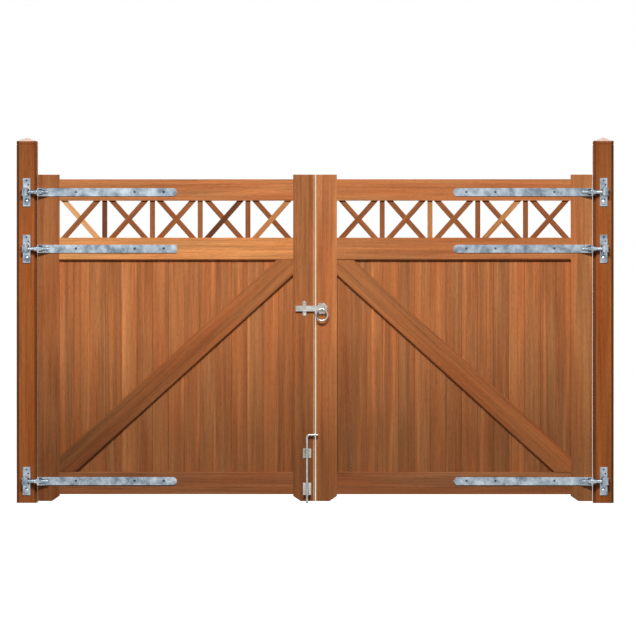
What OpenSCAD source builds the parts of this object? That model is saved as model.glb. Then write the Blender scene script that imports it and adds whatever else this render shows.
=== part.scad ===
// Wooden double gate: two framed and boarded leaves with a cross-lattice head,
// hung on square posts with adjustable strap hinges, a ring latch and a drop bolt.
// Millimetres. +Z is up, +X runs along the gate, and the hinge side faces -Y.
// The origin is the centre of the left post's foot, at ground level.

/* [Gate] */
// Clear width between the two posts
opening_w = 3000; // [2200:10:3800]
// Height of a leaf's stiles
leaf_h = 1760; // [1500:10:2200]
// Gap between the ground and the stiles' feet
ground_gap = 10; // [10:1:60]
// Gap between a leaf and its post
hinge_gap = 6; // [5:1:12]
// Gap between the bodies of the two meeting stiles
meeting_gap = 6; // [6:1:10]

/* [Posts] */
// Side of the square posts
post_w = 110; // [90:1:140]
// How far a post stands above the leaves, up to the edge of its head
post_rise = 180; // [80:5:400]
// Rise of the pyramid on a post's head
post_head_h = 22; // [10:1:60]
// Chamfer along a post's upright edges
post_chamfer = 14; // [4:1:18]
// Depth of the groove cut round a post under its head
post_groove = 3; // [1:0.5:6]
// Distance from the edge of the head down to that groove
post_groove_drop = 16; // [10:1:60]

/* [Frame] */
// Thickness of stiles and rails
frame_t = 45; // [38:1:60]
// Width of a stile
stile_w = 115; // [90:1:140]
// Height of the top rail
top_rail_h = 115; // [80:1:140]
// Height of the rail under the lattice
lattice_rail_h = 120; // [80:1:150]
// Height of the bottom rail
bottom_rail_h = 120; // [80:1:150]
// How far the stiles stand above the top rail
horn_top = 25; // [10:1:60]
// How far the stiles reach below the bottom rail
horn_foot = 37; // [30:1:80]
// Width of the corner cut off a stile's foot
foot_cut_w = 40; // [10:1:60]
// Height of the corner cut off a stile's foot
foot_cut_h = 27; // [10:1:30]
// Height of the lattice opening
lattice_h = 200; // [120:5:300]
// Chamfer on the rails' front edges beside the boards
rail_chamfer = 6; // [2:0.5:8]
// Chamfer on the front edges of the meeting stiles
meeting_chamfer = 8; // [4:0.5:9]
// How far the back of a meeting edge is cut away, so that a leaf clears the other
meeting_bevel = 2; // [2:0.5:5]
// Width of the bead planted behind the left meeting stile
bead_w = 40; // [25:1:60]
// Thickness of that bead
bead_t = 18; // [10:1:24]
// How far the bead reaches into the meeting gap
bead_reach = 2.5; // [0:0.5:3]

/* [Joinery] */
// Depth of the groove that holds the boards
groove_d = 9; // [6:0.5:12]
// Clearance of the boards in that groove, each side
groove_clear = 0.2; // [0.1:0.1:0.4]
// Length of a rail's tenon
tenon_l = 70; // [40:1:80]
// Thickness of a rail's tenon
tenon_t = 14; // [10:1:18]
// Clearance of a tenon in its mortise
tenon_clear = 0.2; // [0.1:0.1:0.4]

/* [Boards] */
// Width that each full board covers
board_pitch = 85; // [60:1:120]
// Thickness of the boards
board_t = 18; // [14:0.5:20]
// Distance from the frame's back to the boards' back
board_back = 2; // [1:0.5:6]
// Depth of the V between two boards
board_v = 2.5; // [1:0.5:5]

/* [Brace and lattice] */
// Width of the diagonal brace
brace_w = 122; // [80:1:150]
// Distance from the frame's face to the brace's face
brace_recess = 2; // [1:0.5:8]
// Chamfer along the brace's front edges
brace_chamfer = 5; // [1:0.5:8]
// Bays of the lattice in one leaf
bays = 5; // [3:1:8]
// Width of a lattice bar
bar_w = 27; // [18:1:36]
// Thickness of a lattice bar
bar_t = 20; // [14:1:30]
// Gap between the foot of a cross and the upright beside it
cross_gap = 8; // [2:1:16]

/* [Hinges] */
// Height of the top hinge above the underside of the top rail
top_hinge_rise = 45; // [25:1:90]
// Height of the middle hinge above the underside of the lattice rail
middle_hinge_rise = 60; // [25:1:95]
// Height of the bottom hinge above the underside of the bottom rail
bottom_hinge_rise = 71; // [45:1:95]
// Distance from the posts' face to the hinge pin's axis
pin_offset = 28; // [27:1:40]
// Distance from the post's middle outwards to the pin's axis
pin_outset = 6; // [0:1:12]
// Diameter of the hinge pin
pin_d = 16; // [12:1:18]
// Clearance of the pin in its eye, on the radius
pin_clear = 0.3; // [0.2:0.1:0.6]
// Outer diameter of the eye
eye_d = 36; // [32:1:40]
// Height of the eye
eye_h = 26; // [20:1:32]
// Clearance above and below the eye
eye_clear = 0.3; // [0.2:0.1:0.8]
// Diameter of the eye bolt's shank
shank_d = 20; // [16:1:22]
// Length of the shank past the lug
shank_past_lug = 52; // [25:1:70]
// Nut, across its flats
nut_af = 30; // [26:1:32]
// Thickness of a nut
nut_t = 16; // [10:1:20]
// Width of the strap
strap_w = 43; // [40:1:50]
// Thickness of the strap
strap_t = 6; // [4:0.5:8]
// Length of the strap from the pin's axis
strap_l = 816; // [400:1:1000]
// Width of the bracket's plate
plate_w = 40; // [36:1:50]
// Height of the bracket's plate
plate_h = 152; // [120:1:200]
// Thickness of the bracket's plate
plate_t = 6; // [4:0.5:7]
// Thickness of the bracket's ears
ear_t = 5; // [4:0.5:8]

/* [Ring latch] */
// Height of the spindle above the foot of the stile
latch_h = 1038; // [700:5:1300]
// Distance from the middle of the gate to the spindle
latch_in = 37; // [36:1:60]
// Height of the latch bar
latch_bar_w = 30; // [20:1:36]
// Thickness of the latch bar
latch_bar_t = 6; // [4:0.5:8]
// How far the bar reaches past the middle of the gate
latch_bar_reach = 105; // [90:1:112]
// Gap between the stiles' face and the bar
latch_bar_off = 10; // [8:0.5:14]
// Side of the square spindle
spindle_w = 10; // [8:1:12]
// Diameter of the rose over its lobes
rose_d = 64; // [50:1:64]
// Thickness of the rose
rose_t = 5; // [3:0.5:7]
// Outer diameter of the front ring
ring_d = 72; // [60:1:90]
// Diameter of the front ring's wire
ring_wire = 10; // [8:0.5:12]
// Outer diameter of the smaller rear ring
rear_ring_d = 44; // [36:1:46]
// Diameter of the rear ring's wire
rear_ring_wire = 8; // [6:0.5:9]
// Width of the eyes that carry the rings
ring_eye_w = 15; // [12:1:18]
// Gap between the rear rose and the spindle's rear flange
rear_hub_gap = 5; // [5:0.5:10]
// Distance from the middle of the gate to the keeper
keeper_in = 57; // [50:1:70]
// Width of the keeper
keeper_w = 20; // [16:1:26]
// Height of the keeper
keeper_h = 82; // [70:1:100]
// Thickness of the keeper's plate and hook
keeper_t = 4; // [3:0.5:5]
// Clearance of the bar in the keeper's hook
keeper_clear = 0.3; // [0.2:0.1:1]

/* [Drop bolt] */
// Diameter of the bolt
bolt_d = 14; // [12:1:16]
// Height of the handle's axis above the ground
bolt_top = 367; // [300:1:500]
// Length of the handle from the bolt's axis
bolt_handle_l = 58; // [50:1:110]
// Distance from the middle of the gate to the bolt
bolt_in = 43; // [40:1:80]
// Distance from the stile's face to the bolt's axis
bolt_off = 16; // [14:1:24]
// Clearance of the bolt in its guides, on the radius
bolt_clear = 0.5; // [0.3:0.1:1]
// Width of a guide
guide_w = 44; // [36:1:60]
// Height of the upper guide
upper_guide_h = 51; // [40:1:80]
// Height of the lower guide
lower_guide_h = 65; // [40:1:90]
// Underside of the lower guide above the ground
lower_guide_z = 44; // [40:1:80]
// Underside of the upper guide above the ground
upper_guide_z = 243; // [200:1:300]
// Thickness of the guides
guide_t = 3; // [2:0.5:5]

/* [Hidden] */
$fn = 64;
eps = 1;

wood = "#a8653a";
dark_wood = "#8a4f2c";
zinc = "#aeb9c2";
steel = "#cfcac0";

// The gate's middle, and the plane of every front face
gate_cx = (opening_w + post_w) / 2;
face_y = -post_w / 2;

post_h = ground_gap + leaf_h + post_rise;

// One leaf, with x = 0 at its hinge edge, y = 0 on its face and z = 0 at its foot
leaf_w = (opening_w - meeting_gap) / 2 - hinge_gap;
leaf_x = post_w / 2 + hinge_gap;
panel_w = leaf_w - 2 * stile_w;
bottom_rail_z = horn_foot;
panel_z = bottom_rail_z + bottom_rail_h;
top_rail_z = leaf_h - horn_top - top_rail_h;
lattice_z = top_rail_z - lattice_h;
lattice_rail_z = lattice_z - lattice_rail_h;
panel_h = lattice_rail_z - panel_z;
board_y = frame_t - board_back - board_t;
top_hinge_h = top_rail_z + top_hinge_rise;
middle_hinge_h = lattice_rail_z + middle_hinge_rise;
bottom_hinge_h = bottom_rail_z + bottom_hinge_rise;

// A tenon keeps 3 mm of wood between itself and the boards' groove
tenon_shoulder = groove_d + 3;
tenon_y = 14;

// Hinge pieces, with x = 0 and y = 0 on the pin's axis
lug_t = 8;
lug_x = leaf_x + pin_outset - 2;
lug_front = -(shank_d / 2 + 4);
lug_h = strap_w + 1;
strap_y = pin_offset - strap_t;
gusset_t = 4;
gusset_l = 60;
ear_r = 20;
ear_z = eye_h / 2 + eye_clear;
pin_head_d = 24;
pin_head_t = 5;

// Ring latch, with y = 0 on the stiles' face, towards the rear
hub_d = 28;
hub_t = 6;
ring_drop = 3;
ring_hole_clear = 0.45;
front_hub = latch_bar_off + latch_bar_t;
rear_hub = rose_t + rear_hub_gap;
spindle_bore = spindle_w * sqrt(2) + 2;
// For a ring of outer diameter d and wire w: its middle radius, how far its inside
// lies below its hinge line where it leaves the eye, the eye's bore and outside, and
// the ring's place past the flange
function mid_r(d, w) = (d - w) / 2;
function sag(d, w) = mid_r(d, w) - sqrt(pow(d / 2 - w, 2) - ring_eye_w * ring_eye_w / 4);
function eye_hole_r(d, w) = sag(d, w) + ring_hole_clear;
function eye_out_r(d, w) = eye_hole_r(d, w) + 5.5;
function ring_off(d, w) = hub_t + eye_out_r(d, w) - 1;

// ---------------------------------------------------------------- placing

module on_left() { translate([leaf_x, face_y, ground_gap]) children(); }
module on_right() { translate([2 * gate_cx, 0, 0]) mirror([1, 0, 0]) on_left() children(); }
module at_left_pin(h) {
    translate([-pin_outset, face_y - pin_offset, ground_gap + h]) children();
}
module at_right_pin(h) {
    translate([2 * gate_cx, 0, 0]) mirror([1, 0, 0]) at_left_pin(h) children();
}
module at_spindle() {
    translate([gate_cx + latch_in, face_y, ground_gap + latch_h]) children();
}
// Puts a flat outline upright, facing -Y, with its back at y = 0
module upright(t) { rotate([90, 0, 0]) linear_extrude(t) children(); }
// Runs an outline drawn in Y and Z along +X
module along_x(l) { rotate([90, 0, 90]) linear_extrude(l) children(); }

// ---------------------------------------------------------------- posts

module post_plan() {
    s = post_w / 2;
    c = post_chamfer;
    polygon([
        [-s, -s + c], [-s + c, -s], [s - c, -s], [s, -s + c],
        [s, s - c], [s - c, s], [-s + c, s], [-s, s - c]
    ]);
}
module post_side() {
    s = post_w / 2;
    polygon([[-s, 0], [s, 0], [s, post_h], [0, post_h + post_head_h], [-s, post_h]]);
}
module post() {
    reach = post_w / 2;
    v_side = post_groove * sqrt(2);
    color(dark_wood) difference() {
        intersection() {
            linear_extrude(post_h + post_head_h) post_plan();
            rotate([90, 0, 0]) translate([0, 0, -reach]) linear_extrude(post_w) post_side();
            rotate([90, 0, 90]) translate([0, 0, -reach]) linear_extrude(post_w) post_side();
        }
        for (turn = [0, 90, 180, 270])
            rotate([0, 0, turn]) translate([0, -reach, post_h - post_groove_drop])
                rotate([45, 0, 0]) cube([post_w + eps, v_side, v_side], center = true);
    }
}

// ---------------------------------------------------------------- frame

// Plan of the meeting stile, chamfered in front and bevelled to the back
module meeting_plan() {
    polygon([
        [0, 0], [stile_w - meeting_chamfer, 0], [stile_w, meeting_chamfer],
        [stile_w - meeting_bevel, frame_t], [0, frame_t]
    ]);
}
// Everything cut from a stile whose inner edge is at x = 0 and whose wood lies at x < 0
module stile_cuts() {
    translate([-groove_d, board_y - groove_clear, panel_z - groove_d])
        cube([groove_d + eps, board_t + 2 * groove_clear, panel_h + 2 * groove_d]);
    for (rail = [[bottom_rail_z, bottom_rail_h], [lattice_rail_z, lattice_rail_h],
                 [top_rail_z, top_rail_h]])
        translate([-tenon_l - 1, tenon_y - tenon_clear, rail[0] + tenon_shoulder - tenon_clear])
            cube([tenon_l + 1 + eps, tenon_t + 2 * tenon_clear,
                  rail[1] - 2 * tenon_shoulder + 2 * tenon_clear]);
    translate([0, frame_t + eps, 0]) upright(frame_t + 2 * eps)
        polygon([[-foot_cut_w, 0], [-foot_cut_w, -eps], [eps, -eps], [eps, foot_cut_h],
                 [0, foot_cut_h]]);
}
module hinge_stile() {
    color(dark_wood) difference() {
        cube([stile_w, frame_t, leaf_h]);
        translate([stile_w, 0, 0]) stile_cuts();
    }
}
module meeting_stile(bored) {
    color(dark_wood) translate([leaf_w - stile_w, 0, 0]) difference() {
        linear_extrude(leaf_h) meeting_plan();
        mirror([1, 0, 0]) stile_cuts();
        if (bored) translate([stile_w + meeting_gap / 2 - latch_in, -eps, latch_h])
            rotate([-90, 0, 0]) cylinder(d = spindle_bore, h = frame_t + 2 * eps);
    }
}
// Bead behind the left meeting stile, which narrows the meeting gap from the back.
// It stays short of the right leaf, so that either leaf can open first
module closing_bead() {
    color(dark_wood) translate([leaf_w + bead_reach - bead_w, frame_t, 0])
        cube([bead_w, bead_t, leaf_h]);
}
// Section of a rail in Y and Z. top and foot are its chamfers beside the boards
module rail_section(h, top, foot) {
    polygon([[foot, 0], [frame_t, 0], [frame_t, h], [top, h], [0, h - top], [0, foot]]);
}
module rail(z, h, top_chamfer, foot_chamfer, groove_top, groove_foot) {
    color(wood) translate([stile_w, 0, z]) difference() {
        union() {
            along_x(panel_w) rail_section(h, top_chamfer, foot_chamfer);
            translate([-tenon_l, tenon_y, tenon_shoulder])
                cube([panel_w + 2 * tenon_l, tenon_t, h - 2 * tenon_shoulder]);
        }
        if (groove_top) translate([-eps, board_y - groove_clear, h - groove_d])
            cube([panel_w + 2 * eps, board_t + 2 * groove_clear, groove_d + eps]);
        if (groove_foot) translate([-eps, board_y - groove_clear, -eps])
            cube([panel_w + 2 * eps, board_t + 2 * groove_clear, groove_d + eps]);
    }
}
module top_rail() { rail(top_rail_z, top_rail_h, 0, 0, false, false); }
module lattice_rail() { rail(lattice_rail_z, lattice_rail_h, 0, rail_chamfer, false, true); }
module bottom_rail() { rail(bottom_rail_z, bottom_rail_h, rail_chamfer, 0, true, false); }

// ---------------------------------------------------------------- infill

// Full boards either side of the middle one, then what is left at each edge
full_boards = 2 * floor((panel_w / board_pitch - 1) / 2) + 1;
first_v = (panel_w - full_boards * board_pitch) / 2;

module boards() {
    grown = groove_d - 1;
    v_at = [for (i = [0:full_boards]) first_v + i * board_pitch];
    front = [for (x = v_at, s = [-1, 0, 1]) [x + s * board_v, s == 0 ? board_v : 0]];
    back = [for (i = [full_boards:-1:0], s = [1, 0, -1])
        [v_at[i] + s * board_v, board_t - (s == 0 ? board_v : 0)]];
    color(wood) translate([stile_w, board_y, panel_z - grown]) linear_extrude(panel_h + 2 * grown)
        polygon(concat([[-grown, 0]], front, [[panel_w + grown, 0], [panel_w + grown, board_t]],
                       back, [[-grown, board_t]]));
}
// Rises from the foot at the hinge side to the head at the meeting side
module brace() {
    angle = atan(panel_h / panel_w);
    length = sqrt(panel_w * panel_w + panel_h * panel_h) + 2 * brace_w;
    t = board_y - brace_recess;
    w = brace_w / 2;
    c = brace_chamfer;
    color(wood) translate([stile_w, 0, panel_z]) intersection() {
        cube([panel_w, board_y, panel_h]);
        rotate([0, -angle, 0]) translate([-brace_w, brace_recess, 0]) along_x(length)
            polygon([[c, -w], [t, -w], [t, w], [c, w], [0, w - c], [0, c - w]]);
    }
}
bay_w = (panel_w - (bays - 1) * bar_w) / bays;
cross_angle = atan(lattice_h / (bay_w - bar_w - 2 * cross_gap));
// Half the width of a slanting bar where it is cut level by a rail
cross_half = bar_w / 2 / sin(cross_angle);

module cross() {
    from = cross_gap + cross_half;
    run = bay_w - 2 * from;
    slope = atan(lattice_h / run);
    length = sqrt(run * run + lattice_h * lattice_h) + 2 * bar_w;
    intersection() {
        cube([bay_w, bar_t, lattice_h]);
        union() {
            translate([bay_w / 2, bar_t / 2, lattice_h / 2]) {
                rotate([0, slope, 0]) cube([length, bar_t, bar_w], center = true);
                rotate([0, -slope, 0]) cube([length, bar_t, bar_w], center = true);
            }
        }
    }
}
module lattice() {
    color(wood) translate([stile_w, (frame_t - bar_t) / 2, lattice_z]) {
        for (i = [0:bays - 1]) translate([i * (bay_w + bar_w), 0, 0]) cross();
        for (i = [1:bays - 1])
            translate([i * (bay_w + bar_w) - bar_w, 0, 0]) cube([bar_w, bar_t, lattice_h]);
    }
}

// ---------------------------------------------------------------- hinges

module hinge_bracket() {
    color(zinc) {
        translate([pin_outset - plate_w / 2, pin_offset - plate_t, -plate_h / 2])
            cube([plate_w, plate_t, plate_h]);
        for (z = [ear_z, -ear_z - ear_t]) translate([0, 0, z]) linear_extrude(ear_t) {
            circle(r = ear_r);
            translate([-ear_r, 0]) square([2 * ear_r, pin_offset - plate_t]);
        }
        translate([0, 0, -ear_z - ear_t - pin_head_t])
            cylinder(d = pin_d, h = 2 * (ear_z + ear_t) + pin_head_t);
        translate([0, 0, ear_z + ear_t]) cylinder(d = pin_head_d, h = pin_head_t);
    }
}
module nut(x) {
    translate([x, 0, 0]) rotate([0, 90, 0]) cylinder(r = nut_af / sqrt(3), h = nut_t, $fn = 6);
}
module eye_bolt() {
    color(zinc) difference() {
        union() {
            translate([0, 0, -eye_h / 2]) cylinder(d = eye_d, h = eye_h);
            rotate([0, 90, 0]) cylinder(d = shank_d, h = lug_x + lug_t + shank_past_lug);
            nut(lug_x - nut_t);
            nut(lug_x + lug_t);
        }
        translate([0, 0, -eye_h]) cylinder(r = pin_d / 2 + pin_clear, h = 2 * eye_h);
    }
}
module strap_outline(tip) {
    r = strap_w / 2;
    body = strap_l - lug_x - (tip == "square" ? 0 : r);
    translate([lug_x, -r]) square([body, strap_w]);
    if (tip == "round") translate([strap_l - r, 0]) circle(r = r);
    if (tip == "point") translate([strap_l - r, 0])
        polygon([[-eps, -r], [r / 4, -r], [r, 0], [r / 4, r], [-eps, r]]);
}
module strap(tip) {
    gusset_x = lug_x + lug_t - eps;
    color(zinc) difference() {
        union() {
            translate([0, pin_offset, 0]) upright(strap_t) strap_outline(tip);
            translate([lug_x, lug_front, -lug_h / 2])
                cube([lug_t, pin_offset - lug_front, lug_h]);
            for (z = [-strap_w / 2, strap_w / 2 - gusset_t])
                translate([0, 0, z]) linear_extrude(gusset_t)
                    polygon([[gusset_x, lug_front + gusset_t], [gusset_x, strap_y + eps],
                             [gusset_x + gusset_l, strap_y + eps], [gusset_x + gusset_l, strap_y]]);
        }
        rotate([0, 90, 0]) cylinder(d = shank_d + 1, h = lug_x + lug_t + eps);
    }
}

// ---------------------------------------------------------------- ring latch

module latch_bar() {
    reach = latch_in + latch_bar_reach;
    color(steel) at_spindle() translate([0, -latch_bar_off, 0]) difference() {
        upright(latch_bar_t) {
            translate([-reach, -latch_bar_w / 2]) square([reach, latch_bar_w]);
            circle(d = latch_bar_w);
        }
        cube([spindle_w + 0.2, 3 * latch_bar_t, spindle_w + 0.2], center = true);
    }
}
// Flange and eye on the spindle's end, pointing -Y, with the flange's back at y = 0
module ring_carrier(d, w) {
    eye_y = -ring_off(d, w);
    eye_r = eye_out_r(d, w);
    difference() {
        union() {
            rotate([90, 0, 0]) cylinder(d = hub_d, h = hub_t);
            translate([-ring_eye_w / 2, eye_y, -ring_drop]) rotate([0, 90, 0])
                cylinder(r = eye_r, h = ring_eye_w);
            translate([-ring_eye_w / 2, eye_y, -ring_drop - eye_r / 2])
                cube([ring_eye_w, -eye_y - eps, eye_r]);
        }
        translate([-ring_eye_w, eye_y, -ring_drop]) rotate([0, 90, 0])
            cylinder(r = eye_hole_r(d, w), h = 2 * ring_eye_w);
    }
}
module latch_spindle() {
    color(steel) at_spindle() {
        translate([-spindle_w / 2, -front_hub - eps, -spindle_w / 2])
            cube([spindle_w, front_hub + frame_t + rear_hub + 2 * eps, spindle_w]);
        translate([0, -front_hub, 0]) ring_carrier(ring_d, ring_wire);
        translate([0, frame_t + rear_hub, 0]) mirror([0, 1, 0])
            ring_carrier(rear_ring_d, rear_ring_wire);
    }
}
// Plate of eight lobes round a clearance hole
module rose() {
    lobes = 8;
    lobe_r = rose_d / 7;
    upright(rose_t) difference() {
        union() {
            circle(r = rose_d / 2 - lobe_r);
            for (i = [0:lobes - 1]) rotate(i * 360 / lobes + 180 / lobes)
                translate([rose_d / 2 - lobe_r, 0]) circle(r = lobe_r);
        }
        circle(d = spindle_bore);
    }
}
module latch_roses() {
    color(steel) at_spindle() {
        rose();
        translate([0, frame_t, 0]) mirror([0, 1, 0]) rose();
    }
}
// A ring hanging from the origin
module ring(d, w) {
    translate([0, 0, -mid_r(d, w)]) rotate([90, 0, 0])
        rotate_extrude() translate([mid_r(d, w), 0]) circle(d = w);
}
module front_ring() {
    color(steel) at_spindle()
        translate([0, -front_hub - ring_off(ring_d, ring_wire), -ring_drop])
            ring(ring_d, ring_wire);
}
module rear_ring() {
    color(steel) at_spindle()
        translate([0, frame_t + rear_hub + ring_off(rear_ring_d, rear_ring_wire), -ring_drop])
            ring(rear_ring_d, rear_ring_wire);
}
// Plate with round ends, and a hook that the bar drops into from above
module latch_keeper() {
    r = keeper_w / 2;
    under = -latch_bar_w / 2 - keeper_clear;
    inner = latch_bar_off + latch_bar_t + 2;
    outer = inner + keeper_t;
    color(steel) translate([gate_cx - keeper_in, face_y, ground_gap + latch_h]) {
        upright(keeper_t) {
            translate([-r, r - keeper_h / 2]) square([keeper_w, keeper_h - keeper_w]);
            for (s = [-1, 1]) translate([0, s * (keeper_h / 2 - r)]) circle(r = r);
        }
        translate([-r, 0, 0]) along_x(keeper_w)
            polygon([[-keeper_t + eps, under - keeper_t], [-keeper_t + eps, under],
                     [-inner, under], [-inner, 0], [-outer, -keeper_t], [-outer, under],
                     [-inner, under - keeper_t]]);
    }
}

// ---------------------------------------------------------------- drop bolt

// Plate on the stile with an ear that the bolt runs through, at its head or its foot
module guide(z, h, ear_at_head) {
    ear_z0 = ear_at_head ? z + h - guide_t : z;
    reach = bolt_off + bolt_d / 2 + 6;
    difference() {
        union() {
            translate([-guide_w / 2, -guide_t, z]) cube([guide_w, guide_t, h]);
            translate([-guide_w / 2 + 4, -reach, ear_z0])
                cube([guide_w - 8, reach - eps, guide_t]);
        }
        translate([0, -bolt_off, z - eps]) cylinder(r = bolt_d / 2 + bolt_clear, h = h + 2 * eps);
    }
}
module bolt_guides() {
    color(steel) translate([gate_cx - bolt_in, face_y, 0]) {
        guide(upper_guide_z, upper_guide_h, true);
        guide(lower_guide_z, lower_guide_h, false);
    }
}
module drop_bolt() {
    bend = bolt_d;
    tip = 3;
    color(steel) translate([gate_cx - bolt_in, face_y - bolt_off, 0]) {
        cylinder(d1 = bolt_d - 2 * tip, d2 = bolt_d, h = tip);
        translate([0, 0, tip]) cylinder(d = bolt_d, h = bolt_top - bend - tip);
        translate([bend, 0, bolt_top - bend]) rotate([90, 0, 0]) rotate([0, 0, 90])
            rotate_extrude(angle = 90) translate([bend, 0]) circle(d = bolt_d);
        translate([bend, 0, bolt_top]) rotate([0, 90, 0])
            cylinder(d = bolt_d, h = bolt_handle_l - bend);
    }
}

// ---------------------------------------------------------------- nodes

post();  // left_post
translate([2 * gate_cx, 0, 0]) post();  // right_post

at_left_pin(top_hinge_h) hinge_bracket();  // left_top_hinge_bracket
at_left_pin(middle_hinge_h) hinge_bracket();  // left_middle_hinge_bracket
at_left_pin(bottom_hinge_h) hinge_bracket();  // left_bottom_hinge_bracket
at_right_pin(top_hinge_h) hinge_bracket();  // right_top_hinge_bracket
at_right_pin(middle_hinge_h) hinge_bracket();  // right_middle_hinge_bracket
at_right_pin(bottom_hinge_h) hinge_bracket();  // right_bottom_hinge_bracket

at_left_pin(top_hinge_h) eye_bolt();  // left_top_eye_bolt
at_left_pin(middle_hinge_h) eye_bolt();  // left_middle_eye_bolt
at_left_pin(bottom_hinge_h) eye_bolt();  // left_bottom_eye_bolt
at_right_pin(top_hinge_h) eye_bolt();  // right_top_eye_bolt
at_right_pin(middle_hinge_h) eye_bolt();  // right_middle_eye_bolt
at_right_pin(bottom_hinge_h) eye_bolt();  // right_bottom_eye_bolt

at_left_pin(top_hinge_h) strap("round");  // left_top_strap
at_left_pin(middle_hinge_h) strap("square");  // left_middle_strap
at_left_pin(bottom_hinge_h) strap("round");  // left_bottom_strap
at_right_pin(top_hinge_h) strap("round");  // right_top_strap
at_right_pin(middle_hinge_h) strap("round");  // right_middle_strap
at_right_pin(bottom_hinge_h) strap("point");  // right_bottom_strap

on_left() hinge_stile();  // left_hinge_stile
on_left() meeting_stile(false);  // left_meeting_stile
on_left() top_rail();  // left_top_rail
on_left() lattice_rail();  // left_lattice_rail
on_left() bottom_rail();  // left_bottom_rail
on_left() lattice();  // left_lattice
on_left() brace();  // left_brace
on_left() boards();  // left_boards
on_left() closing_bead();

on_right() hinge_stile();  // right_hinge_stile
on_right() meeting_stile(true);  // right_meeting_stile
on_right() top_rail();  // right_top_rail
on_right() lattice_rail();  // right_lattice_rail
on_right() bottom_rail();  // right_bottom_rail
on_right() lattice();  // right_lattice
on_right() brace();  // right_brace
on_right() boards();  // right_boards

latch_keeper();
bolt_guides();
drop_bolt();
latch_bar();
latch_spindle();
latch_roses();
front_ring();
rear_ring();
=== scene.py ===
# %% [markdown]
# # A wooden double gate
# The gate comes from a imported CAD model: posts, stiles, rails and ironwork at their
# true sizes, in metres. Here it gets its looks. We keep each CAD node whose shape is
# right and give it a material, and we model again what the eye wants in more detail:
# the boards, the lattice bars, the screws and the threads.

# %% Load the frame
import bpy
import bmesh
import math
import random
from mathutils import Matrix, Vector


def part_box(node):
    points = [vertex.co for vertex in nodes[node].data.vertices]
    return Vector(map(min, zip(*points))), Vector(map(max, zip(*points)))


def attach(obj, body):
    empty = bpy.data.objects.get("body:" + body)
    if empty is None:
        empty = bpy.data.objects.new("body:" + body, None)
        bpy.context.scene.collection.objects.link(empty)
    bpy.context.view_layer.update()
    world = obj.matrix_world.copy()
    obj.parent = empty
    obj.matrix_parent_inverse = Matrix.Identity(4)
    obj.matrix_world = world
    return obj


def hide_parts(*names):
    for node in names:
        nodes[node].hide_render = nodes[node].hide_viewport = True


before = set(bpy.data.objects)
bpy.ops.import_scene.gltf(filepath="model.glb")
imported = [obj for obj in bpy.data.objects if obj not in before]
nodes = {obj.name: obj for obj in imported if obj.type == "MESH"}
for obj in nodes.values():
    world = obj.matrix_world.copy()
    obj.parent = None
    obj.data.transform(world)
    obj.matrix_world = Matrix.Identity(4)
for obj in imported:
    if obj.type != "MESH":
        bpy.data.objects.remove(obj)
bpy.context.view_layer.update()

# %% [markdown]
# Colours are written as sRGB hex values, as a paint shop gives them. Blender's shaders
# work in linear light, so one function converts them. A second one adds a node, sets
# its values and makes its links, which keeps every material below short.

# %% Colour and node helpers
def linear(hex_code):
    """sRGB hex to linear RGBA."""
    parts = [int(hex_code[i:i + 2], 16) / 255 for i in (1, 3, 5)]
    return [c / 12.92 if c <= 0.04045 else ((c + 0.055) / 1.055) ** 2.4 for c in parts] + [1]


def add_node(tree, kind, values=None, links=None, **settings):
    """One node: settings are its properties, values its sockets, links what feeds them."""
    node = tree.nodes.new(kind)
    for key, value in settings.items():
        setattr(node, key, value)
    for key, value in (values or {}).items():
        node.inputs[key].default_value = value
    for key, source in (links or {}).items():
        tree.links.new(source, node.inputs[key])
    return node


def ramp(tree, source, stops):
    """A colour ramp: stops are (position, colour)."""
    node = add_node(tree, "ShaderNodeValToRGB", links={"Fac": source})
    marks = node.color_ramp.elements
    while len(marks) < len(stops):
        marks.new(0.5)
    for mark, (position, colour) in zip(marks, stops):
        mark.position, mark.color = position, colour
    return node.outputs["Color"]


def new_material(name):
    material = bpy.data.materials.new(name)
    material.use_nodes = True
    tree = material.node_tree
    return material, tree, tree.nodes["Principled BSDF"]


print("linear mid grey:", linear("#808080")[0])

# %% [markdown]
# ## Camera
# A long lens from far away shows the gate almost without perspective. The camera
# stands slightly to the right of the middle, so that the right post looks a little
# larger than the left one.

# %% Camera
MM = 0.001
VIEW_CENTRE = Vector((1.571, -0.055, 0.997))
VIEW_WIDTH = 3.428
DISTANCE = 26.0
VIEW_TURN = math.radians(0.4)

camera_data = bpy.data.cameras.new("camera")
SENSOR = 36
camera_data.sensor_width = SENSOR
camera_data.lens = SENSOR * DISTANCE / VIEW_WIDTH
camera = bpy.data.objects.new("camera", camera_data)
bpy.context.scene.collection.objects.link(camera)
camera.location = VIEW_CENTRE + DISTANCE * Vector((math.sin(VIEW_TURN), -math.cos(VIEW_TURN), 0))
camera.rotation_euler = (VIEW_CENTRE - camera.location).to_track_quat("-Z", "Y").to_euler()
bpy.context.scene.camera = camera
print("lens in mm:", round(camera_data.lens, 1))

# %% [markdown]
# ## Floor, backdrop and light
# A product stands on a white ground. The floor looks white to the camera and to
# reflections, but sends only a little light back up, so the gate's foot stays darker
# than its head. A soft lamp in front and above does most of the work. It stands well
# away, so that rails and braces cast narrow, crisp shadows. A weak one fills from the
# front, and a third lights the back.

# %% Floor and world
def white_to_camera(tree, surface, camera_surface):
    """Mixes in camera_surface for camera, glossy and transmission rays."""
    path = add_node(tree, "ShaderNodeLightPath")
    seen = add_node(tree, "ShaderNodeMath", operation="MAXIMUM",
                    links={0: path.outputs["Is Camera Ray"], 1: path.outputs["Is Glossy Ray"]})
    seen = add_node(tree, "ShaderNodeMath", operation="MAXIMUM",
                    links={0: seen.outputs[0], 1: path.outputs["Is Transmission Ray"]})
    mix = add_node(tree, "ShaderNodeMixShader",
                   links={0: seen.outputs[0], 1: surface, 2: camera_surface})
    return mix.outputs[0]


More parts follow.
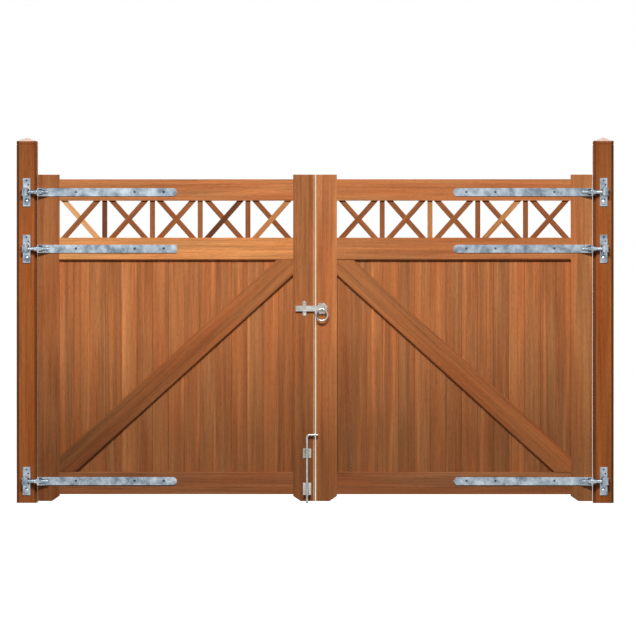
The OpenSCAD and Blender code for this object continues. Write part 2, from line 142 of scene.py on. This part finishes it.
view_settings = bpy.context.scene.view_settings
view_settings.view_transform = "Standard"

world = bpy.data.worlds.new("studio")
bpy.context.scene.world = world
world.use_nodes = True
sky = world.node_tree
sky.nodes.clear()
dim = add_node(sky, "ShaderNodeBackground", {"Color": linear("#ffffff"), "Strength": 0.17})
white = add_node(sky, "ShaderNodeBackground", {"Color": linear("#ffffff"), "Strength": 1.0})
add_node(sky, "ShaderNodeOutputWorld",
         links={"Surface": white_to_camera(sky, dim.outputs[0], white.outputs[0])})

floor_mesh = bpy.data.meshes.new("floor")
floor_mesh.from_pydata([(-30, -30, -0.001), (33, -30, -0.001), (33, 30, -0.001), (-30, 30, -0.001)],
                       [], [(0, 1, 2, 3)])
floor = bpy.data.objects.new("floor", floor_mesh)
bpy.context.scene.collection.objects.link(floor)
floor_paint, tree, shader = new_material("floor_white")
shader.inputs["Base Color"].default_value = linear("#5c5c5c")
shader.inputs["Roughness"].default_value = 0.9
glow = add_node(tree, "ShaderNodeEmission", {"Color": linear("#ffffff"), "Strength": 0.93})
lit = add_node(tree, "ShaderNodeAddShader", links={0: glow.outputs[0], 1: shader.outputs[0]})
tree.links.new(white_to_camera(tree, shader.outputs[0], lit.outputs[0]),
               tree.nodes["Material Output"].inputs["Surface"])
floor_mesh.materials.append(floor_paint)

# %% Lamps
def soft_lamp(name, place, aim, size, power):
    data = bpy.data.lights.new(name, "AREA")
    data.shape, data.size, data.size_y, data.energy = "RECTANGLE", size[0], size[1], power
    lamp = bpy.data.objects.new(name, data)
    lamp.location = place
    lamp.rotation_euler = (Vector(aim) - Vector(place)).to_track_quat("-Z", "Y").to_euler()
    bpy.context.scene.collection.objects.link(lamp)
    return lamp


soft_lamp("key", (1.5, -4.6, 4.2), (1.55, 0, 1.7), (2.6, 0.8), 325)
soft_lamp("fill", (0.0, -7.0, 1.6), (1.5, 0, 1.0), (4.0, 2.5), 8)
soft_lamp("back", (1.6, 4.6, 3.6), (1.55, 0, 1.0), (4.5, 1.5), 330)

# %% [markdown]
# ## Oiled hardwood
# The timber is a planed red-brown hardwood with an oil finish. Three things make it
# read as wood: broad bands of light and dark a few centimetres wide, fine pores that
# run along the grain, and a slow change of tone over the length of a piece. Each is a
# noise texture stretched along the grain. Real pores are 0.3 mm wide; here they are
# drawn about 2 mm wide, as coarse as they need to be to show. Boards also carry pale
# stripes of sapwood. A piece's tone may follow its height: painted shade, darker towards the foot
# and, on the posts, towards the top, where less light falls. The cut heads of the posts are painted pale:
# faded end grain with a painted highlight.
# A piece's object coordinates are the gate's own metres, so one turn of them about Y
# lays the grain along any rail, stile or brace.

# %% Hardwood material
PORE_MM = 2.0
BAND_MM = 26.0
STREAK_MM = 7.0
SAP_MM = 34.0
GATE_TOP = 2.0
# Height in metres and tone, from the foot up: painted shade, darker where less light falls.
LEAF_HEIGHT_SHADE = ((0.25, 0.64), (0.95, 1.0), (1.45, 1.0), (1.75, 0.90))
POST_HEIGHT_SHADE = ((0.25, 0.92), (0.95, 1.0), (1.45, 1.0), (1.90, 0.70))
BRACE_HEIGHT_SHADE = ((0.30, 0.52), (0.95, 1.0))
BOARD_HEIGHT_SHADE = ((0.35, 0.68), (0.95, 1.0))
# The pale colour painted on the post heads: faded end grain with a painted highlight of the light their
# tops catch.
FADED_HEAD_HIGHLIGHT = "#e9cdbd"


def hardwood(name, hex_code, grain_deg=90, shift=0.0, boards=False, contrast=1.0, faded_highlight_above=None,
             painted_height_shade=()):
    """Oiled hardwood. grain_deg is the grain's slope in the XZ plane: 0 along X, 90 along Z.
    boards=True takes each board's own tone and grain from the mesh's attributes.
    The last argument holds (height in metres, tone) pairs: painted shade, darker where less light falls."""
    material, tree, shader = new_material(name)
    place = add_node(tree, "ShaderNodeTexCoord").outputs["Object"]
    height = add_node(tree, "ShaderNodeSeparateXYZ", links={0: place}).outputs["Z"]
    place = add_node(tree, "ShaderNodeMapping", {"Rotation": (0, math.radians(grain_deg), 0),
                     "Location": (shift * 1.7, shift * 3.1, shift * 2.3)},
                     {"Vector": place}).outputs[0]
    tone = None
    if boards:
        tone = add_node(tree, "ShaderNodeAttribute", attribute_name="tone").outputs["Fac"]
        cut = add_node(tree, "ShaderNodeAttribute", attribute_name="cut").outputs["Vector"]
        place = add_node(tree, "ShaderNodeVectorMath", operation="ADD",
                         links={0: place, 1: cut}).outputs[0]

    def stretched(across_mm, along_mm, detail, distort=0.0):
        scale = (1 / (along_mm * MM), 1 / (across_mm * MM), 1 / (across_mm * MM))
        fit = add_node(tree, "ShaderNodeVectorMath", operation="MULTIPLY", links={0: place})
        fit.inputs[1].default_value = scale
        return add_node(tree, "ShaderNodeTexNoise",
                        {"Scale": 1.0, "Detail": detail, "Roughness": 0.55, "Distortion": distort},
                        {"Vector": fit.outputs[0]}).outputs["Fac"]

    bands = stretched(BAND_MM, 900, 2.0, 0.6)
    streaks = stretched(STREAK_MM, 260, 3.0, 0.3)
    pores = stretched(PORE_MM, 30, 2.0)
    slow = stretched(90, 700, 1.0)

    mixed = add_node(tree, "ShaderNodeMath", operation="MULTIPLY_ADD",
                     links={0: streaks, 2: bands})
    mixed.inputs[1].default_value = 0.7
    grain = add_node(tree, "ShaderNodeMapRange", {"From Min": 0.55, "From Max": 1.15,
                     "To Min": 1 - 0.34 * contrast, "To Max": 1 + 0.26 * contrast},
                     {"Value": mixed.outputs[0]}).outputs[0]
    pore_dark = add_node(tree, "ShaderNodeMapRange", {"From Min": 0.36, "From Max": 0.52,
                         "To Min": 0.80, "To Max": 1.0}, {"Value": pores}).outputs[0]
    drift = add_node(tree, "ShaderNodeMapRange", {"From Min": 0.3, "From Max": 0.7,
                     "To Min": 0.93, "To Max": 1.07}, {"Value": slow}).outputs[0]
    shade = add_node(tree, "ShaderNodeMath", operation="MULTIPLY", links={0: grain, 1: pore_dark})
    shade = add_node(tree, "ShaderNodeMath", operation="MULTIPLY", links={0: shade.outputs[0], 1: drift})
    if boards:
        shade = add_node(tree, "ShaderNodeMath", operation="MULTIPLY", links={0: shade.outputs[0], 1: tone})

    if boards:
        stripes = stretched(SAP_MM, 1300, 1.0, 0.4)
        sap = add_node(tree, "ShaderNodeMapRange", {"From Min": 0.54, "From Max": 0.70,
                       "To Min": 0.97, "To Max": 1.26}, {"Value": stripes}).outputs[0]
        shade = add_node(tree, "ShaderNodeMath", operation="MULTIPLY", links={0: shade.outputs[0], 1: sap})
    # Painted shade: the tone is scaled by a ramp over the height, darker where less light falls.
    if painted_height_shade:
        part_up = add_node(tree, "ShaderNodeMath", operation="MULTIPLY", links={0: height})
        part_up.inputs[1].default_value = 1 / GATE_TOP
        shade_by_height = ramp(tree, part_up.outputs[0], [(z / GATE_TOP, (v, v, v, 1)) for z, v in painted_height_shade])
        shade = add_node(tree, "ShaderNodeMath", operation="MULTIPLY", links={0: shade.outputs[0], 1: shade_by_height})

    base = linear(hex_code)
    red = [base[0] * 1.04, base[1] * 0.93, base[2] * 0.86, 1]
    yellow = [base[0] * 0.98, base[1] * 1.07, base[2] * 1.12, 1]
    hue = ramp(tree, slow, [(0.32, red), (0.68, yellow)])
    lit = add_node(tree, "ShaderNodeVectorMath", operation="SCALE", links={0: hue})
    tree.links.new(shade.outputs[0], lit.inputs["Scale"])
    colour = lit.outputs[0]
    # Painted highlight: above the post head the colour is the pale head tone, faded end grain with the
    # light its top catches painted in.
    if faded_highlight_above is not None:
        top = add_node(tree, "ShaderNodeMath", {1: faded_highlight_above}, operation="GREATER_THAN",
                       links={0: height})
        faded_highlight_mix = add_node(tree, "ShaderNodeMix", data_type="RGBA", links={0: top.outputs[0], 6: colour})
        faded_highlight_mix.inputs[7].default_value = linear(FADED_HEAD_HIGHLIGHT)
        colour = faded_highlight_mix.outputs[2]
    tree.links.new(colour, shader.inputs["Base Color"])
    rough = add_node(tree, "ShaderNodeMapRange", {"From Min": 0.3, "From Max": 0.7,
                     "To Min": 0.66, "To Max": 0.54}, {"Value": pores}).outputs[0]
    tree.links.new(rough, shader.inputs["Roughness"])
    shader.inputs["Specular IOR Level"].default_value = 0.10
    bump = add_node(tree, "ShaderNodeBump", {"Strength": 0.35, "Distance": 0.4 * MM}, {"Height": pores})
    tree.links.new(bump.outputs[0], shader.inputs["Normal"])
    return material


# %% [markdown]
# Planks of one timber differ, so the frame is mixed from five stains, from pale honey
# to dark umber. The table gives each piece its stain and its grain's slope, which
# follows its length. The long chamfers get a colour of their own: darker on the posts, and
# paler on the meeting stiles, a painted highlight of the light those edges catch.

# %% Frame timber
EASED = 2.0 * MM


def eased(piece, width=EASED):
    """Planed timber never has a knife edge: a small bevel catches the light."""
    bevel = piece.modifiers.new("eased_edges", "BEVEL")
    bevel.width, bevel.segments, bevel.limit_method = width, 2, "ANGLE"
    bevel.angle_limit = math.radians(40)
    bevel.harden_normals = False


def paint(piece, material):
    piece.data.materials.clear()
    piece.data.materials.append(material)


def paint_slopes(piece, material):
    """Gives the long chamfered faces of an upright piece a material of their own."""
    piece.data.materials.append(material)
    for face in piece.data.polygons:
        if min(abs(face.normal.x), abs(face.normal.y)) > 0.3:
            face.material_index = 1


BRACE_RISE, BRACE_RUN = 1.143, 1.261
BRACE_DEG = math.degrees(math.atan2(BRACE_RISE, BRACE_RUN))
STAINS = {"honey": "#dc9458", "amber": "#b87242", "russet": "#a56236",
          "umber": "#965c38", "orange": "#a45a28"}
timber = {
    "left_post": ("orange", 90), "right_post": ("orange", 90),
    "left_hinge_stile": ("russet", 90), "right_hinge_stile": ("amber", 90),
    "left_meeting_stile": ("russet", 90), "right_meeting_stile": ("amber", 90),
    "left_top_rail": ("amber", 0), "right_top_rail": ("amber", 0),
    "left_lattice_rail": ("honey", 0), "right_lattice_rail": ("amber", 0),
    "left_bottom_rail": ("umber", 0), "right_bottom_rail": ("umber", 0),
    "left_brace": ("russet", BRACE_DEG), "right_brace": ("russet", -BRACE_DEG),
    "closing_bead": ("umber", 90),
}
HEAD_RISE = 22 * MM
POST_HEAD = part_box("left_post")[1][2] - HEAD_RISE
for number, (name, (stain, slope)) in enumerate(timber.items()):
    faded_highlight_from, painted_height_shade = None, ()
    if name.endswith("post"):
        faded_highlight_from, painted_height_shade = POST_HEAD + 0.5 * MM, POST_HEIGHT_SHADE
    elif name.endswith(("stile", "bead")):
        painted_height_shade = LEAF_HEIGHT_SHADE
    elif name == "left_brace":
        painted_height_shade = BRACE_HEIGHT_SHADE
    paint(nodes[name], hardwood("oiled_hardwood_" + name, STAINS[stain], slope, shift=number * 0.37,
                                faded_highlight_above=faded_highlight_from, painted_height_shade=painted_height_shade))
    if not name.endswith("post"):
        eased(nodes[name])
# The post chamfers are a darker tone than the posts' faces.
dark_post_chamfer = hardwood("oiled_hardwood_post_chamfer", "#84491f", 90, shift=5.1, painted_height_shade=POST_HEIGHT_SHADE)
# Painted highlight: the meeting stiles' chamfers are painted pale for the light they catch.
lit_edge_paint = hardwood("oiled_hardwood_painted_highlight_edge", "#d9a36c", 90, shift=6.3)
for side in ("left", "right"):
    paint_slopes(nodes[side + "_post"], dark_post_chamfer)
    paint_slopes(nodes[side + "_meeting_stile"], lit_edge_paint)
print("timber pieces painted:", len(timber))

# %% [markdown]
# ## Boards
# The infill is tongued and grooved boards with a small V along each joint. One board's
# outline, in plan, is a strip with chamfered corners; we sweep it up the opening, once
# for each board, and store its tone and its cut from the log as mesh attributes. Both
# are drawn at random from a fixed seed, so every run gives the same boards.

# %% Board mesh
V_MM = 2.0
JOINT_MM = 0.1


def box_of(node):
    low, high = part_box(node)
    return Vector(low), Vector(high)


def swept(bm, outline, base, top):
    """A closed prism from a plan outline (x, y) between two heights."""
    low = [bm.verts.new((x, y, base)) for x, y in outline]
    high = [bm.verts.new((x, y, top)) for x, y in outline]
    count = len(outline)
    faces = [bm.faces.new((low[i], low[(i + 1) % count], high[(i + 1) % count], high[i]))
             for i in range(count)]
    faces += [bm.faces.new(low[::-1]), bm.faces.new(high)]
    return faces


def object_from(bm, name, material, body):
    mesh = bpy.data.meshes.new(name)
    bmesh.ops.recalc_face_normals(bm, faces=bm.faces)
    bm.to_mesh(mesh)
    bm.free()
    piece = bpy.data.objects.new(name, mesh)
    bpy.context.scene.collection.objects.link(piece)
    if material:
        mesh.materials.append(material)
    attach(piece, body)
    return piece


def face_attributes(mesh, name, kind, values):
    layer = mesh.attributes.new(name, kind, "FACE")
    layer.data.foreach_set("value" if kind == "FLOAT" else "vector",
                           [v for value in values for v in (value if kind != "FLOAT" else [value])])


BOARD_PITCH = 85 * MM
FULL_BOARDS = 13


def boards(side, spread, seed):
    low, high = box_of(side + "_boards")
    middle = (low.x + high.x) / 2
    first = middle - FULL_BOARDS * BOARD_PITCH / 2
    edges = [low.x] + [first + i * BOARD_PITCH for i in range(FULL_BOARDS + 1)] + [high.x]
    rng = random.Random(seed)
    bm = bmesh.new()
    tone_values, cut_values = [], []
    v, gap = V_MM * MM, JOINT_MM * MM / 2
    y0, y1 = low.y, high.y
    for i in range(FULL_BOARDS + 2):
        x0, x1 = edges[i], edges[i + 1]
        x0 += gap if i else 0
        x1 -= gap if i < FULL_BOARDS + 1 else 0
        outline = [(x0, y1 - v), (x0, y0 + v), (x0 + v, y0), (x1 - v, y0), (x1, y0 + v),
                   (x1, y1 - v), (x1 - v, y1), (x0 + v, y1)]
        made = swept(bm, outline, low.z, high.z)
        cut = (rng.uniform(0, 9), rng.uniform(0, 9), rng.uniform(0, 9))
        tone_values += [rng.uniform(1 - spread, 1 + spread)] * len(made)
        cut_values += [cut] * len(made)
    piece = object_from(bm, side + "_board_panel", board_wood, side + "_leaf")
    face_attributes(piece.data, "tone", "FLOAT", tone_values)
    face_attributes(piece.data, "cut", "FLOAT_VECTOR", cut_values)
    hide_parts(side + "_boards")
    print(piece.name, len(piece.data.polygons), "faces")


board_wood = hardwood("oiled_hardwood_boards", STAINS["amber"], 90, boards=True, contrast=0.85,
                      painted_height_shade=BOARD_HEIGHT_SHADE)
boards("left", 0.14, 11)
boards("right", 0.24, 23)

# %% [markdown]
# ## Lattice
# Each bay holds two slanting bars halved into each other, between upright bars: the
# rising bar lies whole in front, the falling bar is cut where they cross. Here both are
# drawn whole, the falling one 1 mm further back, so they run through each other. Every bar
# is its own piece of wood, and some are much paler than others.

# %% Lattice bars
BAR = 27 * MM
CROSS_GAP = 8 * MM
BAYS = 5
bar_tints = {"pale": "#dfaa74", "light": "#c17f48", "mid": "#95572f", "dark": "#6f3f23"}
bar_wood = {}
for tint, hex_code in bar_tints.items():
    for slope in (-1, 0, 1):
        angle = {-1: -48.6, 0: 90, 1: 48.6}[slope]
        bar_wood[tint, slope] = hardwood(f"oiled_hardwood_bar_{tint}_{slope + 1}", hex_code, angle,
                                         shift=slope + 2.0)


def bar_piece(name, outline, y0, y1, tint, slope, body):
    """A flat bar: outline in X and Z, between two depths."""
    bm = bmesh.new()
    front = [bm.verts.new((x, y0, z)) for x, z in outline]
    rear = [bm.verts.new((x, y1, z)) for x, z in outline]
    count = len(outline)
    bm.faces.new(front)
    bm.faces.new(rear[::-1])
    for i in range(count):
        bm.faces.new((front[(i + 1) % count], front[i], rear[i], rear[(i + 1) % count]))
    piece = object_from(bm, name, bar_wood[tint, slope], body)
    eased(piece, 1.2 * MM)
    return piece


def lattice(side, falling, rising, upright):
    first, last = ("hinge", "meeting") if side == "left" else ("meeting", "hinge")
    top, rail = box_of(side + "_top_rail"), box_of(side + "_lattice_rail")
    low, high = box_of(side + "_lattice")
    x0 = box_of(f"{side}_{first}_stile")[1].x
    x1 = box_of(f"{side}_{last}_stile")[0].x
    z0, z1 = rail[1].z, top[0].z
    y0, y1 = low.y, high.y
    bay = (x1 - x0 - (BAYS - 1) * BAR) / BAYS
    steep = math.atan((z1 - z0) / (bay - BAR - 2 * CROSS_GAP))
    half = BAR / 2 / math.sin(steep)
    for i in range(BAYS):
        left = x0 + i * (bay + BAR)
        a, b = left + CROSS_GAP, left + bay - CROSS_GAP
        rise = [(a, z0), (a + 2 * half, z0), (b, z1), (b - 2 * half, z1)]
        fall = [(b - 2 * half, z0), (b, z0), (a + 2 * half, z1), (a, z1)]
        sink = 1.0 * MM
        bar_piece(f"{side}_rising_bar_{i + 1}", rise, y0, y1 - sink,
                                rising[i], 1, side + "_leaf")
        bar_piece(f"{side}_falling_bar_{i + 1}", fall, y0 + sink, y1,
                                falling[i], -1, side + "_leaf")
        if i:
            post = [(left - BAR, z0), (left, z0), (left, z1), (left - BAR, z1)]
            bar_piece(f"{side}_upright_bar_{i}", post, y0 + sink, y1, upright[i - 1], 0,
                                    side + "_leaf")
    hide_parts(side + "_lattice")


lattice("left", ["pale", "mid", "mid", "mid", "mid"], ["mid", "mid", "mid", "dark", "light"],
        ["dark", "mid", "mid", "mid"])
lattice("right", ["mid", "mid", "mid", "mid", "mid"], ["mid", "mid", "mid", "light", "mid"],
        ["mid", "light", "mid", "mid"])

# %% [markdown]
# ## Galvanised steel
# Hot-dip galvanising leaves a zinc skin that freezes in crystals, the spangle: patches
# a few millimetres across, each a slightly different grey. A Voronoi texture gives the
# patches, and a wider noise clouds them. The latch and the bolt are zinc plated, which
# is smoother and brighter, and the screw heads in the hinges are dark grey.

# %% Galvanised steel material
SPANGLE_MM = 7.0
CLOUD_MM = 45.0


def plated_steel(name, dark, light, patch_mm, roughness, bump_mm):
    material, tree, shader = new_material(name)
    place = add_node(tree, "ShaderNodeTexCoord").outputs["Object"]
    cells = add_node(tree, "ShaderNodeTexVoronoi", {"Scale": 1 / (patch_mm * MM)}, {"Vector": place})
    value = add_node(tree, "ShaderNodeSeparateColor", links={0: cells.outputs["Color"]}).outputs[0]
    cloud = add_node(tree, "ShaderNodeTexNoise", {"Scale": 1 / (CLOUD_MM * MM), "Detail": 3.0,
                     "Roughness": 0.5}, {"Vector": place}).outputs["Fac"]
    blend = add_node(tree, "ShaderNodeMath", operation="MULTIPLY_ADD", links={0: value, 2: cloud})
    blend.inputs[1].default_value = 0.16
    tree.links.new(ramp(tree, blend.outputs[0], [(0.38, linear(dark)), (0.80, linear(light))]),
                   shader.inputs["Base Color"])
    gloss = add_node(tree, "ShaderNodeMapRange", {"To Min": roughness + 0.05, "To Max": roughness - 0.04},
                     {"Value": value}).outputs[0]
    tree.links.new(gloss, shader.inputs["Roughness"])
    shader.inputs["Metallic"].default_value = 1.0
    bump = add_node(tree, "ShaderNodeBump", {"Strength": 0.3, "Distance": bump_mm * MM}, {"Height": cloud})
    tree.links.new(bump.outputs[0], shader.inputs["Normal"])
    return material


galvanised = plated_steel("galvanised_steel", "#6a7885", "#b8c3cb", SPANGLE_MM, 0.27, 0.2)
dark_screw_zinc = plated_steel("dark_zinc_screws", "#2c3238", "#565e66", 4.0, 0.45, 0.1)
bright = plated_steel("bright_zinc_plate", "#8a8680", "#c2c0bb", 4.0, 0.28, 0.1)
for name, node in nodes.items():
    if name.endswith(("hinge_bracket", "eye_bolt", "strap")):
        paint(node, galvanised)
        eased(node, 0.6 * MM)
    elif name in ("latch_keeper", "bolt_guides", "drop_bolt", "latch_bar", "latch_spindle",
                  "latch_roses", "front_ring", "rear_ring"):
        paint(node, bright)
print("steel painted")

# %% [markdown]
# ## Screws, threads and washers
# Fixings are what makes ironwork look bolted on. A turned part is a profile, radius
# against height, spun round its axis; every head, washer and thread below is one. A
# screw head is a low dome with a round recess. A thread is drawn as a row of rings,
# which looks the same as a helix at this size.

# %% Turned parts
SIDES = 24


def turned(bm, profile, place, axis, sides=SIDES):
    """Spins (radius, height) pairs round axis from place. Ends at radius 0 are closed."""
    turn = Vector(axis).to_track_quat("Z", "Y").to_matrix()
    rings = []
    for radius, height in profile:
        corners = sides if radius else 1
        angles = [2 * math.pi * k / corners for k in range(corners)]
        rings.append([bm.verts.new(Vector(place) + turn @ Vector(
            (radius * math.cos(a), radius * math.sin(a), height))) for a in angles])
    for lower, upper in zip(rings, rings[1:]):
        for k in range(sides):
            n = (k + 1) % sides
            corners = [lower[k % len(lower)], lower[n % len(lower)],
                       upper[n % len(upper)], upper[k % len(upper)]]
            unique = list(dict.fromkeys(corners))
            if len(unique) > 2:
                bm.faces.new(unique)


def smooth(piece, degrees=35):
    for face in piece.data.polygons:
        face.use_smooth = True
    piece.data.set_sharp_from_angle(angle=math.radians(degrees))


def screw_profile(radius, rise):
    """A low domed head with a recess, closed at its back."""
    return [(0, 0), (radius, 0), (radius, rise * 0.35), (radius * 0.86, rise * 0.8), (radius * 0.55, rise),
            (radius * 0.34, rise), (radius * 0.30, rise * 0.25), (0, rise * 0.2)]


def heads(name, places, radius, rise, body, material, axis=(0, -1, 0)):
    """Screw or bolt heads at these places, as one piece."""
    bm = bmesh.new()
    for place in places:
        turned(bm, screw_profile(radius, rise), place, axis)
    piece = object_from(bm, name, material, body)
    smooth(piece)
    return piece


# %% Hinge fixings
FACE_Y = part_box("left_hinge_stile")[0][1]
PLATE_FRONT = FACE_Y - 6 * MM
SHANK_Y = FACE_Y - 28 * MM
EYE_R = 18 * MM
POST_MIDDLE = {"left": 0.0, "right": 3.110}
LEVELS = ("top", "middle", "bottom")
STRAP_SCREWS = (272 * MM, 589 * MM, 745 * MM)
for side, out in (("left", 1), ("right", -1)):
    post_mid = POST_MIDDLE[side]
    for level in LEVELS:
        low, high = box_of(f"{side}_{level}_eye_bolt")
        pin_x = low.x + EYE_R if side == "left" else high.x - EYE_R
        z = (low.z + high.z) / 2
        name = f"{side}_{level}"
        heads(name + "_strap_screws", [(pin_x + out * d, PLATE_FRONT, z + 2 * MM) for d in STRAP_SCREWS],
              6.5 * MM, 2.2 * MM, side + "_leaf", dark_screw_zinc)
        heads(name + "_plate_screws", [(post_mid, PLATE_FRONT, z + 63 * MM),
                                       (post_mid + 9 * MM, PLATE_FRONT, z + 41 * MM)],
              5.0 * MM, 2.5 * MM, "posts", dark_screw_zinc)
        bm = bmesh.new()
        turned(bm, [(0, 0), (17 * MM, 0), (17 * MM, 1.5 * MM), (14 * MM, 5 * MM), (8 * MM, 8 * MM),
                    (0, 9 * MM)], (post_mid, PLATE_FRONT, z - 51 * MM), (0, -1, 0))
        smooth(object_from(bm, name + "_coach_bolt", galvanised, "posts"))
        lug_low, lug_high = box_of(name + "_strap")
        lug = lug_low.x if side == "left" else lug_high.x
        end = high.x if side == "left" else low.x
        bm = bmesh.new()
        pitch, crest, root = 2.5 * MM, 10.25 * MM, 9.3 * MM
        for start, stop in ((lug + out * 24 * MM, end), (lug - out * 30 * MM, lug - out * 16 * MM)):
            count = int(abs(stop - start) / pitch)
            profile = [(9 * MM, 0)]
            for k in range(count):
                profile += [(root, k * pitch + 0.2 * MM), (crest, (k + 0.5) * pitch)]
            profile += [(root, count * pitch), (0, count * pitch + 0.3 * MM)]
            profile = [(0, 0)] + profile
            turned(bm, profile, (start, SHANK_Y, z), (1 if stop > start else -1, 0, 0))
        smooth(object_from(bm, name + "_thread", galvanised, side + "_leaf"), 20)
        bm = bmesh.new()
        for start, way in ((lug, -out), (lug + out * 8 * MM, out)):
            turned(bm, [(0, 0), (18.5 * MM, 0), (18.5 * MM, 2.4 * MM), (17.8 * MM, 3 * MM), (0, 3 * MM)],
                   (start, SHANK_Y, z), (way, 0, 0))
        smooth(object_from(bm, name + "_washers", galvanised, side + "_leaf"))
print("hinge fixings made")

# %% Latch and bolt fixings
ROSE_SCREW_R = 22 * MM
spindle_low, spindle_high = box_of("latch_spindle")
latch_z = (spindle_low.z + spindle_high.z) / 2
keeper_low, keeper_high = box_of("latch_keeper")
keeper_x, keeper_z = (keeper_low.x + keeper_high.x) / 2, (keeper_low.z + keeper_high.z) / 2
heads("keeper_screws", [(keeper_x, FACE_Y - 4 * MM, keeper_z + d * MM) for d in (-32, 32)],
      4.5 * MM, 2 * MM, "left_leaf", bright)
rose_low, rose_high = box_of("latch_roses")
rose_x, rose_z = (rose_low.x + rose_high.x) / 2, (rose_low.z + rose_high.z) / 2
quarter_turns = [math.radians(45 + 90 * k) for k in range(4)]
corners = [(math.cos(a) * ROSE_SCREW_R, math.sin(a) * ROSE_SCREW_R) for a in quarter_turns]
heads("rose_screws", [(rose_x + dx, rose_low.y, rose_z + dz) for dx, dz in corners],
      3.5 * MM, 1.6 * MM, "right_leaf", bright)
heads("rear_rose_screws", [(rose_x + dx, rose_high.y, rose_z + dz) for dx, dz in corners],
      3.5 * MM, 1.6 * MM, "right_leaf", bright, (0, 1, 0))
guide_low, guide_high = box_of("bolt_guides")
bolt_x = (guide_low.x + guide_high.x) / 2
guide_places = [(bolt_x + dx * MM, FACE_Y - 3 * MM, z) for dx in (-15, 15)
                for z in (guide_low.z + 20 * MM, guide_low.z + 52 * MM, guide_high.z - 38 * MM,
                          guide_high.z - 15 * MM)]
heads("guide_screws", guide_places, 3.8 * MM, 1.8 * MM, "left_leaf", bright)
print("latch and bolt fixings made")
